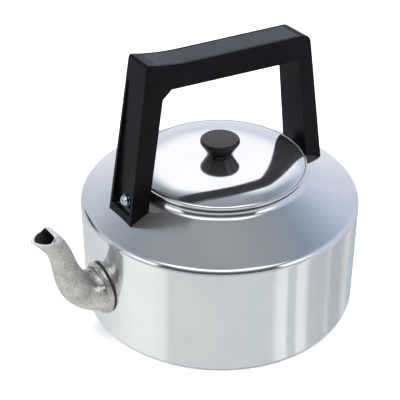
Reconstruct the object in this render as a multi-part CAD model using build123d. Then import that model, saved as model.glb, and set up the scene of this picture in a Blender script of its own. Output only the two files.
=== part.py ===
from build123d import *
import math
import os

# Stovetop kettle with a lift-off lid, a cast spout and a fixed moulded handle.
# Millimetres. The origin is the centre of the base's underside, +Z is up, the spout
# points along -X and the handle stands in the XZ plane.

# ---- driving dimensions ---------------------------------------------------------
BODY_RADIUS = 110.0          # outside of the straight wall
WALL = 1.2                   # sheet thickness of the body
BASE_CORNER = 4.0            # outer radius between base and wall
CORNER_HEIGHT = 92.4         # where wall and shoulder would meet if the corner were sharp
CORNER_FILLET = 8.0          # outer radius of that corner
NECK_RADIUS = 67.0           # outside of the neck
NECK_TOP = 116.1
COVE = 6.2                   # hollow radius between shoulder and neck
SHOULDER_INNER = (70.9, 109.7)   # radius and height of the shoulder's upper end

LID_RADIUS = 68.1            # outside of the lid's rolled rim
LID_RIM_TOP = 118.7
LID_CROWN = 125.3            # top of the dome at its centre
LID_DOME_RADIUS = 66.3
LID_DOME_POWER = 5            # nearly flat in the middle, falling away towards the rim
LID_SHEET = 1.0
LID_BEAD = 0.9               # radius of the rolled rim
SKIRT_RADIUS = 65.2
SKIRT_SHEET = 0.8
SKIRT_DEPTH = 9.5            # below the neck's edge
SKIRT_FLANGE = 4.0           # width of the flange spot-welded under the dome

KNOB_TOP = 139.9
KNOB_RADIUS = 15.4
KNOB_FOOT = 10.1
KNOB_WAIST = 9.9
KNOB_BORE = 3.2
KNOB_BORE_DEPTH = 9.0
KNOB_FOOT_HEIGHT = 3.0       # straight part between foot and waist
KNOB_EDGE = 2.4              # half the thickness of the knob's head at its edge
KNOB_CROWN = 0.8             # rise of the knob's top
KNOB_EDGE_ROUND = 1.5
INSERT_BORE = 2.05
KNOB_WASHER_R = 6.0
KNOB_WASHER_T = 0.8
KNOB_SCREW_R = 2.0
KNOB_SCREW_LENGTH = 8.1
KNOB_HEAD_R = 4.0
KNOB_HEAD_H = 2.4

SPOUT_WALL = 2.2
SPOUT_SPIGOT = 14.0          # outer radius of the threaded end inside the body
SPOUT_BORE = 12.0
SPOUT_INNER_END = -103.0     # where the threaded end stops inside the body
SPOUT_HEIGHT = 42.5          # height of the spout's root above the base
SPOUT_HOLE_ROOM = 0.2        # round the threaded end, in the wall and the gasket
RING_RADIUS = 18.5           # nut inside the body that holds the spout
RING_THICK = 4.0
RING_NOTCH = (3.0, 4.0)      # width and depth of the notches for a spanner
RING_NOTCHES = 6
FLANGE_HALF_WIDTH = 19.6
FLANGE_HALF_HEIGHT = 21.6
FLANGE_THICK = 2.6
GASKET_THICK = 1.0
FIT_GAP = 0.05               # between pieces that are fastened together

# centreline of the spout in the XZ plane: four Bezier poles (x, z) and the outer radius
SPOUT_POLES = ((-107.0, 42.1), (-145.1, 45.1), (-135.2, 80.7), (-147.6, 100.3))
SPOUT_RADII = (18.6, 12.4, 7.8, 8.6)
MOUTH_CENTRE = (-154.6, 106.8)
MOUTH_HALF = (9.8, 9.8)      # along the pouring direction, and across
MOUTH_TILT = 9.0             # degrees, lower at the lip

HANDLE_HALF_FOOT = 15.6      # half width across, at the feet
HANDLE_HALF_TOP = 12.35      # half width across, at the grip
HANDLE_TAPER = (100.0, 225.0)    # heights between which the width tapers
FRONT_OUTER = ((-91.2, 100.6), (-70.6, 224.6))   # foot and top corner, outside
FRONT_INNER = ((-75.6, 103.0), (-57.5, 201.5))
REAR_OUTER = ((89.8, 101.2), (73.3, 212.55))
REAR_INNER = ((75.2, 103.0), (63.3, 193.3))
GRIP_START = (-62.0, 222.4)  # rear edge of the raised front end
GRIP_DIP = (-30.0, 218.0)    # where the hollow runs out into the straight grip
GRIP_END = 65.0
GRIP_COVER = 3.0             # thickness of the inlaid cover
GRIP_SIDE = 1.6              # side walls of the crossbar beside the cover
GRIP_CHANNEL_SIDE = 3.4
GRIP_CHANNEL_DEPTH = 11.0
CHAMFER = 6.5                # front inner corner
REAR_CORNER = 8.0
FRONT_CORNER = 2.5
FOOT_GAP = 0.2               # between handle feet and shoulder

LEG_CHANNEL_SIDE = 3.2       # side walls of the hollow in the leg's outer face
LEG_CHANNEL_TOPS = {-1: 206.0, 1: 196.0}     # front leg, rear leg
LEG_CHANNEL_BOTTOM = 107.0
SEAT_DEPTH = 4.8             # from the leg's outer face to the screw's seat
SCREW_HEIGHT = 114.0
SCREW_R = 2.5
SCREW_CLEAR = 2.55
HEAD_R = 4.6
HEAD_H = 2.9
WASHER_R = 5.2
WASHER_T = 0.8
LUG_DEPTH = 7.7              # from the leg's outer face to the lug
LUG_THICK = 2.4
LUG_HALF_WIDTH = 5.0
LUG_TOP = 122.0
NUT_HALF = 4.0
NUT_THICK = 2.4
RIVET_R = 2.0
RIVET_HEAD_R = 3.0
RIVET_SPACING = 8.6          # either side of the middle
RIVET_DEPTH = 6.4            # from the leg's outer edge, measured at the plate
PLATE_THICK = 2.0
PLATE_HALF_WIDTH = 12.4
PLATE_EDGE_DEPTH = 2.4       # from the leg's outer edge to the plate's edge
PLATE_LEVEL = 100.0          # height at which the plate's place is worked out


def ring_of(face):
    """Turn a face in the XZ plane once around the kettle's axis."""
    return revolve(face, axis=Axis.Z, revolution_arc=360)


def xz_face(*points):
    """Closed straight-sided outline in the XZ plane."""
    return make_face(Plane.XZ * Polyline(*points, close=True))


def shoulder_slope():
    rise = SHOULDER_INNER[1] - CORNER_HEIGHT
    run = BODY_RADIUS - SHOULDER_INNER[0]
    return math.atan2(rise, run)


def shoulder_height(radius, lift=0.0):
    """Height of the shoulder's outside at a radius, raised by lift along its normal."""
    slope = shoulder_slope()
    return CORNER_HEIGHT + (BODY_RADIUS - radius) * math.tan(slope) + lift / math.cos(slope)


def body_outline(inset):
    """Half section of the body, filled to the axis, inset from the outside."""
    radius = BODY_RADIUS - inset
    neck = NECK_RADIUS - inset
    top = NECK_TOP + (inset > 0)
    line = Polyline(
        (0, inset), (radius, inset), (radius, shoulder_height(radius, -inset)),
        (neck, shoulder_height(neck, -inset)), (neck, top), (0, top), close=True)
    face = make_face(Plane.XZ * line)
    base_corner = [v for v in face.vertices() if v.X > radius - 0.1 and v.Z < inset + 0.1]
    face = fillet(base_corner, BASE_CORNER - inset)
    wall_corner = [v for v in face.vertices() if v.X > radius - 0.1 and v.Z > CORNER_HEIGHT - 6]
    face = fillet(wall_corner, CORNER_FILLET - inset)
    neck_corner = [v for v in face.vertices() if abs(v.X - neck) < 0.1 and v.Z < NECK_TOP - 1]
    return fillet(neck_corner, COVE + inset)


def x_cylinder(radius, x_from, x_to, y=0.0, z=0.0):
    """Cylinder along X between two places."""
    middle = (x_from + x_to) / 2
    return Pos(middle, y, z) * Rot(0, 90, 0) * Cylinder(radius, abs(x_to - x_from))


def kettle_body():
    shell = ring_of(body_outline(0)) - ring_of(body_outline(WALL))
    shell -= x_cylinder(SPOUT_SPIGOT + SPOUT_HOLE_ROOM, -BODY_RADIUS - 5, -BODY_RADIUS + 15, z=SPOUT_HEIGHT)
    for side in (-1, 1):
        shell -= rivet_holes(side)
    return shell


# ---- lid ------------------------------------------------------------------------
def dome_height(radius):
    share = radius / LID_DOME_RADIUS
    return LID_RIM_TOP + (LID_CROWN - LID_RIM_TOP) * (1 - share ** LID_DOME_POWER)


def dome_points(drop, outer):
    steps = 8
    return [(outer * i / steps, dome_height(outer * i / steps) - drop) for i in range(steps + 1)]


def lid_cover():
    top = dome_points(0, LID_DOME_RADIUS)
    under = dome_points(LID_SHEET, LID_DOME_RADIUS - 0.4)
    rim_z = LID_RIM_TOP - LID_BEAD
    rim = (LID_RADIUS - LID_BEAD, rim_z + 0.4)
    under_rim = (LID_RADIUS - LID_BEAD, rim_z - 0.4)
    sheet = make_face(Plane.XZ * Curve([
        Spline(*top), Polyline(top[-1], rim, under_rim, under[-1]), Spline(*under),
        Line(under[0], top[0])]))
    dome = ring_of(sheet)
    bead = ring_of(Plane.XZ * Pos(LID_RADIUS - LID_BEAD, rim_z) * Circle(LID_BEAD))
    lid = dome + bead
    return lid - Pos(0, 0, LID_CROWN) * Cylinder(KNOB_BORE, 6)


def lid_skirt():
    """Drawn ring under the lid that drops into the neck, with a flange along its top."""
    flange_inner = SKIRT_RADIUS - SKIRT_FLANGE
    top = dome_height(flange_inner) - LID_SHEET - FIT_GAP
    edge = dome_height(SKIRT_RADIUS - 0.4) - LID_SHEET - FIT_GAP - 0.4
    return ring_of(xz_face(
        (SKIRT_RADIUS, NECK_TOP - SKIRT_DEPTH), (SKIRT_RADIUS, edge),
        (flange_inner, top), (flange_inner, top - SKIRT_SHEET),
        (SKIRT_RADIUS - SKIRT_SHEET, edge - SKIRT_SHEET),
        (SKIRT_RADIUS - SKIRT_SHEET, NECK_TOP - SKIRT_DEPTH)))


def lid_knob():
    """Mushroom knob: nearly flat top, thick rounded edge, conical underside."""
    foot = LID_CROWN + FIT_GAP
    edge_top = KNOB_TOP - KNOB_CROWN
    edge_low = KNOB_TOP - 2 * KNOB_EDGE
    outline = Polyline(
        (0, foot), (KNOB_FOOT, foot), (KNOB_WAIST, foot + KNOB_FOOT_HEIGHT), (KNOB_RADIUS, edge_low),
        (KNOB_RADIUS, edge_top), (0, KNOB_TOP), close=True)
    face = make_face(Plane.XZ * outline)
    rim = [v for v in face.vertices() if v.X > KNOB_RADIUS - 0.1]
    face = fillet(rim, KNOB_EDGE_ROUND)
    knob = ring_of(face)
    return knob - Pos(0, 0, foot + KNOB_BORE_DEPTH / 2) * Cylinder(KNOB_BORE, KNOB_BORE_DEPTH)


def knob_insert():
    """Threaded brass bush moulded into the knob."""
    length = KNOB_BORE_DEPTH - 1.5
    place = Pos(0, 0, LID_CROWN + FIT_GAP + 0.6 + length / 2)
    return place * (Cylinder(KNOB_BORE - FIT_GAP, length) - Cylinder(INSERT_BORE, length + 1))


def knob_washer():
    top = LID_CROWN - LID_SHEET - FIT_GAP
    plate = Cylinder(KNOB_WASHER_R, KNOB_WASHER_T) - Cylinder(KNOB_SCREW_R + 0.1, 2 * KNOB_WASHER_T)
    return Pos(0, 0, top - KNOB_WASHER_T / 2) * plate


def knob_screw():
    seat = LID_CROWN - LID_SHEET - KNOB_WASHER_T - 2 * FIT_GAP
    head = Pos(0, 0, seat - KNOB_HEAD_H / 2) * Cylinder(KNOB_HEAD_R, KNOB_HEAD_H)
    head = fillet(head.edges().group_by(Axis.Z)[0], KNOB_HEAD_H / 2)
    shank = Pos(0, 0, seat + KNOB_SCREW_LENGTH / 2) * Cylinder(KNOB_SCREW_R, KNOB_SCREW_LENGTH)
    screw = head + shank
    for turn in (0, 90):
        screw -= Pos(0, 0, seat - KNOB_HEAD_H) * Rot(0, 0, turn) * Box(4.4, 0.9, 1.8)
    return screw


# ---- spout ----------------------------------------------------------------------
def bezier(values, t):
    a, b, c, d = values
    return a * (1 - t) ** 3 + 3 * b * (1 - t) ** 2 * t + 3 * c * (1 - t) * t ** 2 + d * t ** 3


def spout_section(t, radius):
    """Round section square to the centreline."""
    xs = [p[0] for p in SPOUT_POLES]
    zs = [p[1] for p in SPOUT_POLES]
    step = 0.001
    x, z = bezier(xs, t), bezier(zs, t)
    dx, dz = bezier(xs, t + step) - x, bezier(zs, t + step) - z
    plane = Plane(origin=(x, 0, z), x_dir=(0, 1, 0), z_dir=(dx, 0, dz))
    return plane * Circle(radius)


def mouth_section(inset, rise=0.0):
    tilt = math.radians(MOUTH_TILT)
    plane = Plane(
        origin=(MOUTH_CENTRE[0], 0, MOUTH_CENTRE[1] + rise), x_dir=(0, 1, 0),
        z_dir=(-math.sin(tilt), 0, math.cos(tilt)))
    return plane * Ellipse(MOUTH_HALF[1] - inset, MOUTH_HALF[0] - inset)


def spout_outer():
    stations = [0.0, 0.2, 0.4, 0.6, 0.8]
    sections = [spout_section(t, bezier(SPOUT_RADII, t)) for t in stations]
    return loft(sections + [mouth_section(0)])


def spout_bore():
    stations = [0.0, 0.2, 0.4, 0.6, 0.8]
    radii = [min(SPOUT_BORE, bezier(SPOUT_RADII, t) - SPOUT_WALL) for t in stations]
    inlet = Plane(origin=(SPOUT_INNER_END + 5, 0, SPOUT_HEIGHT), x_dir=(0, 1, 0), z_dir=(-1, 0, 0))
    sections = [inlet * Circle(SPOUT_BORE)] + [spout_section(t, r) for t, r in zip(stations, radii)]
    return loft(sections + [mouth_section(1.4, 1.0)])


def oval_on_wall(half_width, half_height, inner, outer):
    """Oval plate wrapped on the wall between two radii, round the spout's root."""
    block = Plane.YZ.offset(-outer) * Ellipse(half_width, half_height)
    block = Pos(0, 0, SPOUT_HEIGHT) * extrude(block, outer - 90)
    shell = Pos(0, 0, SPOUT_HEIGHT) * (Cylinder(outer, 80) - Cylinder(inner, 90))
    return block & shell


def spout():
    seat = BODY_RADIUS + FIT_GAP + GASKET_THICK + FIT_GAP
    core = Pos(0, 0, SPOUT_HEIGHT) * Cylinder(seat, 80)
    tube = spout_outer() - core
    flange = oval_on_wall(FLANGE_HALF_WIDTH, FLANGE_HALF_HEIGHT, seat, seat + FLANGE_THICK)
    spigot = x_cylinder(SPOUT_SPIGOT, SPOUT_INNER_END, -seat - 1.0, z=SPOUT_HEIGHT)
    return tube + flange + spigot - spout_bore()


def spout_gasket():
    inner = BODY_RADIUS + FIT_GAP
    plate = oval_on_wall(FLANGE_HALF_WIDTH - 0.6, FLANGE_HALF_HEIGHT - 0.6, inner, inner + GASKET_THICK)
    return plate - x_cylinder(SPOUT_SPIGOT + SPOUT_HOLE_ROOM, -125, -95, z=SPOUT_HEIGHT)


def spout_ring():
    """Round nut that pulls the spout up from inside the body."""
    chord = math.cos(math.asin(RING_RADIUS / BODY_RADIUS))
    outer_face = 0.3 - (BODY_RADIUS - WALL) * chord
    inner_face = outer_face + RING_THICK
    ring = x_cylinder(RING_RADIUS, outer_face, inner_face, z=SPOUT_HEIGHT)
    ring -= x_cylinder(SPOUT_SPIGOT + FIT_GAP, outer_face - 5, inner_face + 5, z=SPOUT_HEIGHT)
    width, depth = RING_NOTCH
    for place in range(RING_NOTCHES):
        turn = Rot(360 * place / RING_NOTCHES, 0, 0)
        ring -= Pos(inner_face, 0, SPOUT_HEIGHT) * turn * Pos(0, RING_RADIUS, 0) * Box(depth, width, depth)
    return ring


# ---- handle ---------------------------------------------------------------------
def along(line, height):
    """x of a leaning straight edge at a height."""
    (x0, z0), (x1, z1) = line
    return x0 + (x1 - x0) * (height - z0) / (z1 - z0)


def extend(line, height):
    return (along(line, height), height)


def grip_top(x):
    """Height of the straight part of the grip's top."""
    slope = (REAR_OUTER[1][1] - GRIP_DIP[1]) / (REAR_OUTER[1][0] - GRIP_DIP[0])
    return GRIP_DIP[1] + slope * (x - GRIP_DIP[0])


def grip_sweep(drop):
    """Hollow sweep from the raised front end down to the straight grip."""
    start = (GRIP_START[0], GRIP_START[1] - drop)
    end = (GRIP_DIP[0], GRIP_DIP[1] - drop)
    slope = grip_top(GRIP_DIP[0] + 1) - GRIP_DIP[1]
    return TangentArc(end, start, tangent=(-1, -slope))


def handle_outline():
    low = 90.0
    outer = [GRIP_START, FRONT_OUTER[1], extend(FRONT_OUTER, low), extend(FRONT_INNER, low),
             FRONT_INNER[1], REAR_INNER[1], extend(REAR_INNER, low), extend(REAR_OUTER, low),
             REAR_OUTER[1], GRIP_DIP]
    return make_face(Plane.XZ * Curve([Polyline(*outer), grip_sweep(0)]))


def tapered_slab(inset, low, high):
    """Space between the handle's two tapering sides, inset from both."""
    z0, z1 = HANDLE_TAPER
    rate = (HANDLE_HALF_TOP - HANDLE_HALF_FOOT) / (z1 - z0)

    def half(z):
        return HANDLE_HALF_FOOT + rate * (z - z0) - inset
    outline = Polyline(
        (-half(low), low), (half(low), low), (half(high), high), (-half(high), high), close=True)
    return extrude(make_face(Plane.YZ * outline), 120, both=True)


def leg_frame(side):
    """Outer edge line and outward direction of the front (-1) or rear (1) leg."""
    line = FRONT_OUTER if side < 0 else REAR_OUTER
    (x0, z0), (x1, z1) = line
    lean = math.degrees(math.atan2(abs(x1 - x0), z1 - z0))
    return line, lean


def leg_plane(side, height, depth):
    """Plane across a leg: its z axis points out of the leg's outer face, x up the leg."""
    line, lean = leg_frame(side)
    tilt = math.radians(lean)
    out = (side * math.cos(tilt), 0, math.sin(tilt))
    up = (-side * math.sin(tilt), 0, math.cos(tilt))
    x = along(line, height)
    origin = (x - out[0] * depth, 0, height - out[2] * depth)
    return Plane(origin=origin, x_dir=up, z_dir=out)


def shoulder_band(low, high):
    """Ring that follows the shoulder, between two distances above it."""
    r0, r1 = 68.0, 98.0
    return ring_of(xz_face(
        (r0, shoulder_height(r0, low)), (r1, shoulder_height(r1, low)),
        (r1, shoulder_height(r1, high)), (r0, shoulder_height(r0, high))))


def foot_cut(lift):
    """Everything below the shoulder's surface raised by lift."""
    r0, r1 = 60.0, 105.0
    return ring_of(xz_face(
        (0, 60), (r1, 60), (r1, shoulder_height(r1, lift)), (r0, shoulder_height(r0, lift)),
        (0, shoulder_height(r0, lift))))


def leg_channel(side):
    """Hollow in the leg's outer face, shallow at the top and deepest at the screw."""
    line, _ = leg_frame(side)
    top = LEG_CHANNEL_TOPS[side]
    bottom = LEG_CHANNEL_BOTTOM
    out = side * 10.0
    seat = leg_plane(side, SCREW_HEIGHT, SEAT_DEPTH).origin
    outline = Polyline(
        (along(line, top) + out, top), (along(line, top) - side * 0.8, top),
        (seat.X, seat.Z + 8), (seat.X + side * 0.6, bottom), (along(line, bottom) + out, bottom),
        close=True)
    block = extrude(make_face(Plane.XZ * outline), 30, both=True)
    return block & tapered_slab(LEG_CHANNEL_SIDE, 90, 220)


def bracket_pocket(side):
    """Room in the foot for the bracket's lug, its nut and its riveted plate."""
    slot_depth = LUG_DEPTH + LUG_THICK + NUT_THICK + 0.3
    thick = slot_depth - LUG_DEPTH + 0.2
    plane = leg_plane(side, SCREW_HEIGHT, LUG_DEPTH - 0.2 + thick / 2)
    up = LUG_TOP - SCREW_HEIGHT + 0.6
    slot = plane * Pos((up - 30) / 2, 0, 0) * Box(up + 30, 2 * LUG_HALF_WIDTH + 0.6, thick)
    inner = leg_plane(side, PLATE_LEVEL, slot_depth + 0.1).origin.X
    outer = leg_plane(side, PLATE_LEVEL, PLATE_EDGE_DEPTH - 0.6).origin.X
    middle = Pos((inner + outer) / 2, 0, PLATE_LEVEL)
    plate_room = middle * Box(abs(outer - inner), 2 * PLATE_HALF_WIDTH + 0.8, 30)
    return slot + (plate_room & shoulder_band(-2, PLATE_THICK + 1.9))


def handle_frame():
    frame = extrude(handle_outline(), 40, both=True) & tapered_slab(0, 80, 240)
    across = frame.edges().filter_by(Axis.Y)
    front_inner = across.sort_by_distance((FRONT_INNER[1][0], 0, FRONT_INNER[1][1]))[0]
    frame = chamfer(front_inner, CHAMFER)
    across = frame.edges().filter_by(Axis.Y)
    rear_top = across.sort_by_distance((REAR_OUTER[1][0], 0, REAR_OUTER[1][1]))[0]
    frame = fillet(rear_top, REAR_CORNER)
    across = frame.edges().filter_by(Axis.Y)
    front_top = across.sort_by_distance((FRONT_OUTER[1][0], 0, FRONT_OUTER[1][1]))[0]
    frame = fillet(front_top, FRONT_CORNER)
    frame -= foot_cut(FOOT_GAP)
    frame -= cover_block(GRIP_COVER + FIT_GAP, GRIP_SIDE - FIT_GAP, FIT_GAP)
    frame -= cover_block(GRIP_CHANNEL_DEPTH, GRIP_CHANNEL_SIDE, -4.0)
    for side in (-1, 1):
        frame -= leg_channel(side)
        frame -= bracket_pocket(side)
        seat = leg_plane(side, SCREW_HEIGHT, SEAT_DEPTH)
        frame -= seat * Pos(0, 0, 1 - LUG_DEPTH / 2) * Cylinder(SCREW_CLEAR, LUG_DEPTH)
        frame -= seat * Pos(0, 0, SEAT_DEPTH) * Cylinder(WASHER_R + 0.3, 2 * SEAT_DEPTH)
    return frame


def cover_block(depth, side, longer):
    """Block under the grip's top surface, from the raised end to near the rear corner."""
    start = GRIP_START[0] - longer
    end = GRIP_END + longer
    above = 6.0
    lower = [(start, GRIP_START[1] - depth), (GRIP_DIP[0], GRIP_DIP[1] - depth),
             (end, grip_top(end) - depth)]
    outline = Polyline(
        (start, GRIP_START[1] + above), lower[0], lower[1], lower[2],
        (end, grip_top(end) + above), close=True)
    return extrude(make_face(Plane.XZ * outline), 30, both=True) & tapered_slab(side, 90, 240)


def grip_cover():
    block = cover_block(GRIP_COVER, GRIP_SIDE, 0.0)
    solid = extrude(handle_outline(), 40, both=True)
    return block & solid


# ---- handle fastenings ----------------------------------------------------------
def handle_bracket(side):
    """Aluminium lug with a plate riveted to the shoulder and an upright in the foot."""
    plane = leg_plane(side, SCREW_HEIGHT, LUG_DEPTH + LUG_THICK / 2)
    up = LUG_TOP - SCREW_HEIGHT
    lug = plane * Pos((up - 30) / 2, 0, 0) * Box(up + 30, 2 * LUG_HALF_WIDTH, LUG_THICK)
    inner = leg_plane(side, PLATE_LEVEL, LUG_DEPTH + LUG_THICK).origin.X
    outer = leg_plane(side, PLATE_LEVEL, PLATE_EDGE_DEPTH).origin.X
    middle = Pos((inner + outer) / 2, 0, PLATE_LEVEL)
    plate = middle * Box(abs(outer - inner), 2 * PLATE_HALF_WIDTH, 30)
    plate &= shoulder_band(-3, PLATE_THICK)
    bracket = lug + plate - foot_cut(FIT_GAP)
    bracket -= leg_plane(side, SCREW_HEIGHT, 10) * Cylinder(SCREW_CLEAR, 12)
    return bracket - rivet_holes(side)


def rivet_plane(side, y):
    """Plane on the shoulder at a rivet, z axis square to the sheet."""
    x = leg_plane(side, PLATE_LEVEL, RIVET_DEPTH).origin.X
    radius = math.hypot(x, y)
    slope = shoulder_slope()
    out = (x / radius * math.sin(slope), y / radius * math.sin(slope), math.cos(slope))
    return Plane(origin=(x, y, shoulder_height(radius)), z_dir=out)


def rivet_holes(side):
    holes = [rivet_plane(side, y) * Cylinder(RIVET_R + FIT_GAP, 12)
             for y in (-RIVET_SPACING, RIVET_SPACING)]
    return holes[0] + holes[1]


def bracket_rivets(side):
    """Two rivets with a round head inside the kettle and a flat one under the foot."""
    rivets = []
    for y in (-RIVET_SPACING, RIVET_SPACING):
        shank = Pos(0, 0, (PLATE_THICK - WALL) / 2) * Cylinder(RIVET_R, PLATE_THICK + WALL + 0.6)
        upper = Pos(0, 0, PLATE_THICK + FIT_GAP + 0.5) * Cylinder(RIVET_HEAD_R, 1.0)
        lower = Pos(0, 0, -WALL - 0.2 - 0.7) * Cylinder(RIVET_HEAD_R + 0.4, 1.4)
        lower = fillet(lower.edges().group_by(Axis.Z)[0], 1.0)
        rivets.append(rivet_plane(side, y) * (shank + upper + lower))
    return Compound(children=rivets)


def handle_washer(side):
    seat = leg_plane(side, SCREW_HEIGHT, SEAT_DEPTH - FIT_GAP - WASHER_T / 2)
    return seat * (Cylinder(WASHER_R, WASHER_T) - Cylinder(SCREW_CLEAR + 0.2, 3))


def handle_screw(side):
    """Pan head screw, cross recess, axis square to the leg's outer face."""
    under_head = SEAT_DEPTH - 2 * FIT_GAP - WASHER_T
    tip = LUG_DEPTH + LUG_THICK + NUT_THICK
    plane = leg_plane(side, SCREW_HEIGHT, under_head)
    head = Pos(0, 0, HEAD_H / 2) * Cylinder(HEAD_R, HEAD_H)
    head = fillet(head.edges().group_by(Axis.Z)[-1], 1.6)
    length = tip - under_head
    shank = Pos(0, 0, -length / 2 + 0.5) * Cylinder(SCREW_R, length + 1)
    screw = head + shank
    for turn in (45, 135):
        screw -= Pos(0, 0, HEAD_H) * Rot(0, 0, turn) * Box(5.0, 1.0, 3.2)
    return plane * screw


def handle_nut(side):
    """Square nut held in the foot behind the lug."""
    middle = LUG_DEPTH + LUG_THICK + FIT_GAP + NUT_THICK / 2
    plane = leg_plane(side, SCREW_HEIGHT, middle)
    nut = Box(2 * NUT_HALF, 2 * NUT_HALF, NUT_THICK) - Cylinder(SCREW_R + FIT_GAP, 5)
    return plane * nut


def all_nodes():
    nodes = {
        "kettle_body": kettle_body(), "spout": spout(), "spout_gasket": spout_gasket(),
        "spout_ring": spout_ring(), "lid_cover": lid_cover(), "lid_skirt": lid_skirt(),
        "lid_knob": lid_knob(), "knob_insert": knob_insert(), "knob_washer": knob_washer(),
        "knob_screw": knob_screw(), "handle_frame": handle_frame(), "grip_cover": grip_cover()}
    for name, side in (("front", -1), ("rear", 1)):
        nodes[name + "_bracket"] = handle_bracket(side)
        nodes[name + "_rivets"] = bracket_rivets(side)
        nodes[name + "_washer"] = handle_washer(side)
        nodes[name + "_screw"] = handle_screw(side)
        nodes[name + "_nut"] = handle_nut(side)
    return nodes


os.makedirs("parts", exist_ok=True)
for node, shape in all_nodes().items():
    export_step(shape, "parts/" + node + ".step")
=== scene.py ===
import bmesh
import bpy
import math
from mathutils import Matrix, Vector


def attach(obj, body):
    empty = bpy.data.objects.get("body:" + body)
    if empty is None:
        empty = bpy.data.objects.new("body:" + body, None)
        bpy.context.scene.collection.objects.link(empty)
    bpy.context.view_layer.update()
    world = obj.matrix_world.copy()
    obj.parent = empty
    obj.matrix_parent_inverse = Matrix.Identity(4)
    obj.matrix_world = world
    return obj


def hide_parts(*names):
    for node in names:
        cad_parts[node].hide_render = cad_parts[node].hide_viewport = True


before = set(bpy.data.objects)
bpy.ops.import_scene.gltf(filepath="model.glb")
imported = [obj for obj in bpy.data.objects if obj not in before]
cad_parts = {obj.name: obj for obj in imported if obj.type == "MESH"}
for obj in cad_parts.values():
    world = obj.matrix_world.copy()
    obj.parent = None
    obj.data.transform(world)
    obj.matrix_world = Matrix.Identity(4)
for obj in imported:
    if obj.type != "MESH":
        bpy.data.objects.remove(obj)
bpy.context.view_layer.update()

# Sizes below are in millimetres in the CAD's own frame: origin under the base's centre,
# +Z up, spout towards -X, handle in the XZ plane.
MM = 0.001

BODY_RADIUS = 110.0
WALL = 1.2
BASE_CORNER = 4.0
CORNER_HEIGHT = 92.4
CORNER_FILLET = 5.8
SHOULDER_INNER = (70.9, 109.7)
NECK_RADIUS = 67.0
NECK_TOP = 116.1
COVE = 6.2
FIT_GAP = 0.05               # between pieces that are fastened together
TURNED = 320                 # steps round the large turned pieces

LID_RADIUS = 68.1
LID_BEAD = 0.9               # radius of the rolled rim
LID_RIM_TOP = 118.7
LID_CROWN = 125.3
LID_DOME_RADIUS = 66.3
LID_DOME_POWER = 5
LID_SHEET = 1.0
SKIRT_RADIUS = 65.2
SKIRT_BOTTOM = 106.6
SKIRT_SHEET = 0.8
SKIRT_FLANGE = 4.0           # width of the flange under the dome

KNOB_TOP = 139.9
KNOB_RADIUS = 15.4
KNOB_FOOT = 10.1
KNOB_BORE = 3.2
KNOB_BORE_DEPTH = 9.0
KNOB_WAIST_UP = 1.6          # from the foot to the narrowest part
KNOB_EDGE = (3.6, 0.9)       # lower and upper edge of the head, below the top

SPOUT_POLES = ((-107.0, 42.1), (-145.1, 45.1), (-135.2, 80.7), (-147.6, 100.3))
SPOUT_RADII = (18.6, 12.4, 7.8, 8.6)
SPOUT_WALL = 2.2
SPOUT_BORE = 12.0
SPOUT_SPIGOT = 14.0
SPOUT_INNER_END = -103.0
ROOT_HEIGHT = 42.5
FLANGE = (19.6, 21.6)
FLANGE_SEAT = 111.1
SPOUT_HOLE_ROOM = 0.2
SPOUT_POINTS = 128           # points in each ring of the spout
SPOUT_SPLIT = 0.78           # share of the spout after which it turns into the mouth
# Rings of the flange: inset across and up, then distance out from the wall
FLANGE_EDGE = (
    (0.6, 0.6, 0.0), (0.15, 0.15, 0.1), (0.0, 0.0, 0.4), (0.0, 0.0, 1.5), (0.15, 0.15, 2.0),
    (0.45, 0.5, 2.45), (0.8, 1.0, 2.6), (1.1, 1.8, 2.5), (1.35, 2.3, 2.65), (1.6, 2.7, 3.05),
    (1.8, 3.1, 3.6))
# The mouth's outlines: half width, depth to the rear and to the front, and how square each is
MOUTH_OUTER = (9.8, 9.4, 11.5, 6.0, 1.6)
MOUTH_INNER = (8.3, 4.0, 8.3, 7.0, 1.6)
# Rings of the land from the outer outline inwards: insets of width, rear and front, sink, hood
MOUTH_LAND = ((0.1, 0.7, 0.1, 0.12, 1.9), (0.35, 1.8, 0.35, 0.0, 0.9), (0.6, 3.2, 1.0, 0.0, 0.3))
MOUTH_CENTRE = (-152.6, 105.3)
HORN_RISE = 3.6              # the mouth's rear edge stands up above the pouring lip

HALF_FOOT = 15.6
HALF_TOP = 12.35
TAPER = (100.0, 225.0)
FRONT_OUTER = ((-91.2, 100.6), (-70.6, 224.5))
FRONT_INNER = ((-75.6, 103.0), (-57.5, 201.5))
REAR_OUTER = ((89.8, 101.2), (73.3, 212.55))
REAR_INNER = ((75.2, 103.0), (63.3, 193.3))
GRIP_START = (-62.0, 222.4)
GRIP_DIP = (-30.0, 218.0)
GRIP_END = 65.0
GRIP_COVER = 3.0
GRIP_SIDE = 1.6
COVER_GAP = 0.35
CHAMFER = 6.5
REAR_CORNER = 8.0
CHANNEL_SIDE = 2.6
CHANNEL_TOP = {-1: 206.0, 1: 196.0}
SCREW_HEIGHT = 114.0
LUG_POCKET = (7.5, 5.1)      # depth from the leg's outer face, and thickness
LUG_TOP = 122.0
SEAT_DEPTH = 4.8
HEAD_DEPTH = 3.9
HEAD_RADIUS = 4.8
HEAD_HEIGHT = 3.3
SCREW_RADIUS = 2.5
SCREW_LENGTH = 8.5
RECESS_DEPTH = 1.7           # of the cross in the screw's head
LEG_LOW = 88.0               # legs are drawn down to here, then trimmed to the shoulder
PLATE_LEVEL = 100.0          # height at which the riveted plate's room is worked out
PLATE_HALF_WIDTH = 12.8
BOX_FACES = [(3, 2, 1, 0), (4, 5, 6, 7), (0, 1, 5, 4), (1, 2, 6, 5), (2, 3, 7, 6), (3, 0, 4, 7)]


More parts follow.
